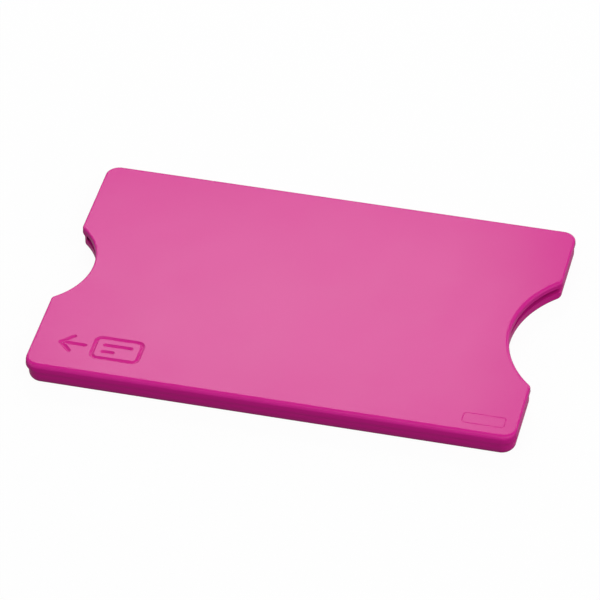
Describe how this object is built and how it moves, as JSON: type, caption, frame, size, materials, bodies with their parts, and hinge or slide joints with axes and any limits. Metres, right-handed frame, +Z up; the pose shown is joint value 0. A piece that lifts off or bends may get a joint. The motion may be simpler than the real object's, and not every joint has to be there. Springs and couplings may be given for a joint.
{
  "type": "rfid card holder",
  "caption": "Slim hard plastic sleeve for a contactless card: notched top plate welded to a shallow notched tray, with a metal shielding sheet laid inside each.",
  "frame": {"origin": "middle of the outline's box, on the flat underside that the sleeve rests on", "axes": "+X along the length to the open mouth with the wide grip notch, -X to the closed end with the narrow push-out notch, +Y to the back long side, +Z up through the top plate"},
  "size_m": [0.09, 0.059, 0.0041],
  "materials": {
    "shell_plastic": "satin, opaque pink, soft broad reflection",
    "shielding_sheet": "mill finish, fine rolling lines"
  },
  "bodies": {
    "root": {"top_shell": "shell_plastic", "bottom_shell": "shell_plastic", "top_shield": "shielding_sheet", "bottom_shield": "shielding_sheet"}
  },
  "joints": []
}
